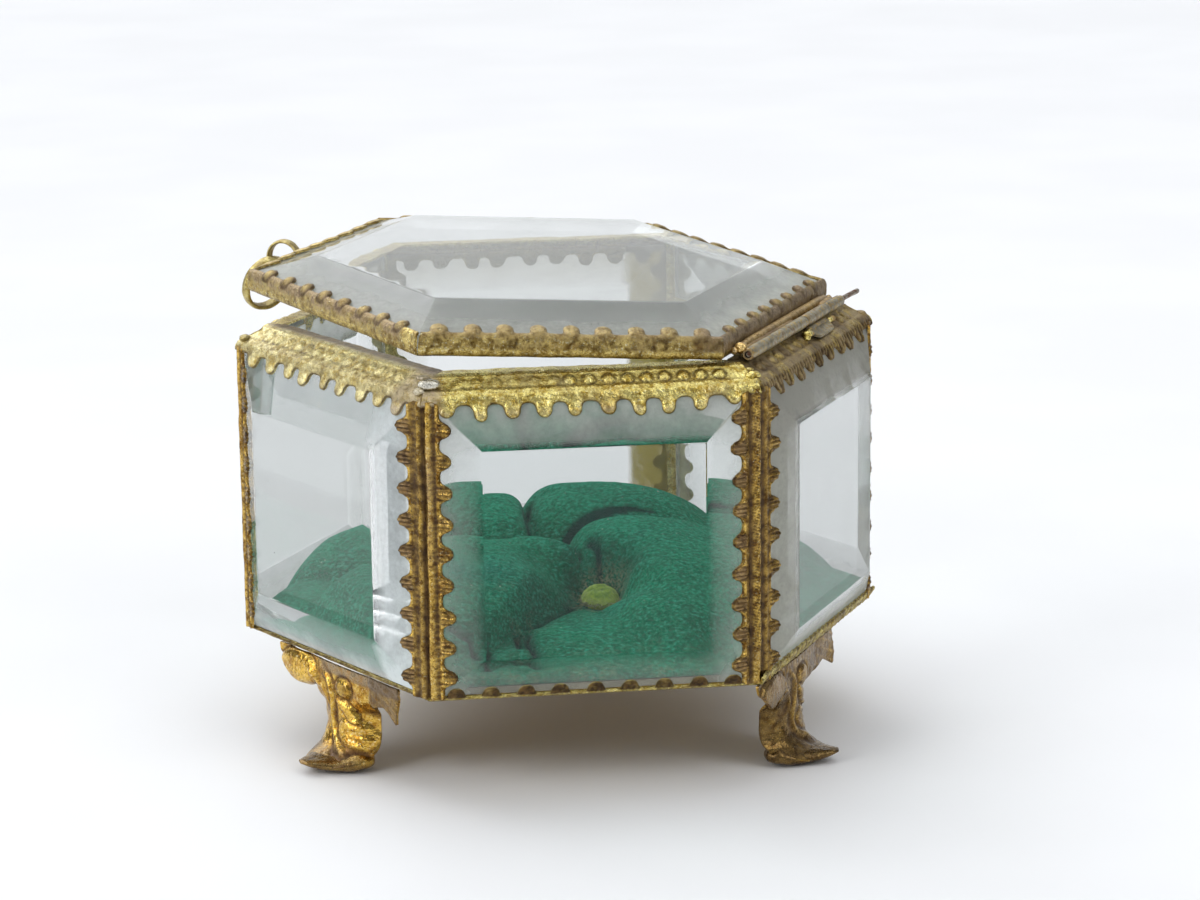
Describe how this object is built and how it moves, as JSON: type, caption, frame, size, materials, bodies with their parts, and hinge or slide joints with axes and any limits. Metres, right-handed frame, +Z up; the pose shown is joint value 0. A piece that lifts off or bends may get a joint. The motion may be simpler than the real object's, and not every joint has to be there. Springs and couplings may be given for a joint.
{
  "type": "glass casket box",
  "caption": "Hexagonal keepsake casket of thick bevelled glass in stamped gilt-brass strips, with a hinged glass lid, pull ring, tufted velvet pad and stamped feet.",
  "frame": {"origin": "centre of the object's overall box in X and Y at the floor, on which the feet stand", "axes": "+Z up, +X to the right along the front side, front face towards -Y"},
  "size_m": [0.091, 0.0874, 0.0692],
  "materials": {
    "glass": "polished, slightly dusty at the bevels",
    "gilt_brass": "stamped gilt brass with brown recesses",
    "dark_brass": "worn and tarnished gilt brass",
    "solder_grey": "brass tube greyed with solder",
    "wire": "rusty steel wire",
    "board": "grey-brown card",
    "velvet": "teal-green velvet",
    "tuft": "yellow-green covered button"
  },
  "bodies": {
    "box": {"pane_front": "glass", "pane_right_front": "glass", "pane_right_back": "glass", "pane_back": "glass", "pane_left_back": "glass", "pane_left_front": "glass", "post_front_right": "gilt_brass", "post_right": "gilt_brass", "post_back_right": "gilt_brass", "post_back_left": "gilt_brass", "post_left": "gilt_brass", "post_front_left": "gilt_brass", "top_rail_front": "gilt_brass", "top_rail_right_front": "gilt_brass", "top_rail_right_back": "gilt_brass", "top_rail_back": "gilt_brass", "top_rail_left_back": "gilt_brass", "top_rail_left_front": "gilt_brass", "bottom_rail_front": "dark_brass", "bottom_rail_right_front": "dark_brass", "bottom_rail_right_back": "dark_brass", "bottom_rail_back": "dark_brass", "bottom_rail_left_back": "dark_brass", "bottom_rail_left_front": "dark_brass", "base_plate": "dark_brass", "pad_board": "board", "pad": "velvet", "pad_button": "tuft", "foot_left": "gilt_brass", "foot_right": "gilt_brass", "foot_back": "gilt_brass", "hinge_knuckle_box": "solder_grey", "hinge_pin": "wire"},
    "lid": {"lid_glass": "glass", "lid_rail_front": "gilt_brass", "lid_rail_right_front": "gilt_brass", "lid_rail_right_back": "gilt_brass", "lid_rail_back": "gilt_brass", "lid_rail_left_back": "gilt_brass", "lid_rail_left_front": "gilt_brass", "hinge_leaf": "gilt_brass", "hinge_knuckle_long": "solder_grey", "hinge_knuckle_short": "solder_grey", "pull_eye": "dark_brass"},
    "ring": {"pull_ring": "dark_brass"}
  },
  "joints": [
    {"name": "lid_hinge", "type": "hinge", "parent": "box", "child": "lid", "pos_m": [0.03135, -0.01981, 0.06005], "axis": [0.5, 0.866, 0], "range_deg": [-3.7, 172]},
    {"name": "ring_swing", "type": "hinge", "parent": "lid", "child": "ring", "pos_m": [-0.03811, 0.01336, 0.06526], "axis": [0.6363, 0.6111, -0.4708], "range_deg": [-9, 115]}
  ]
}
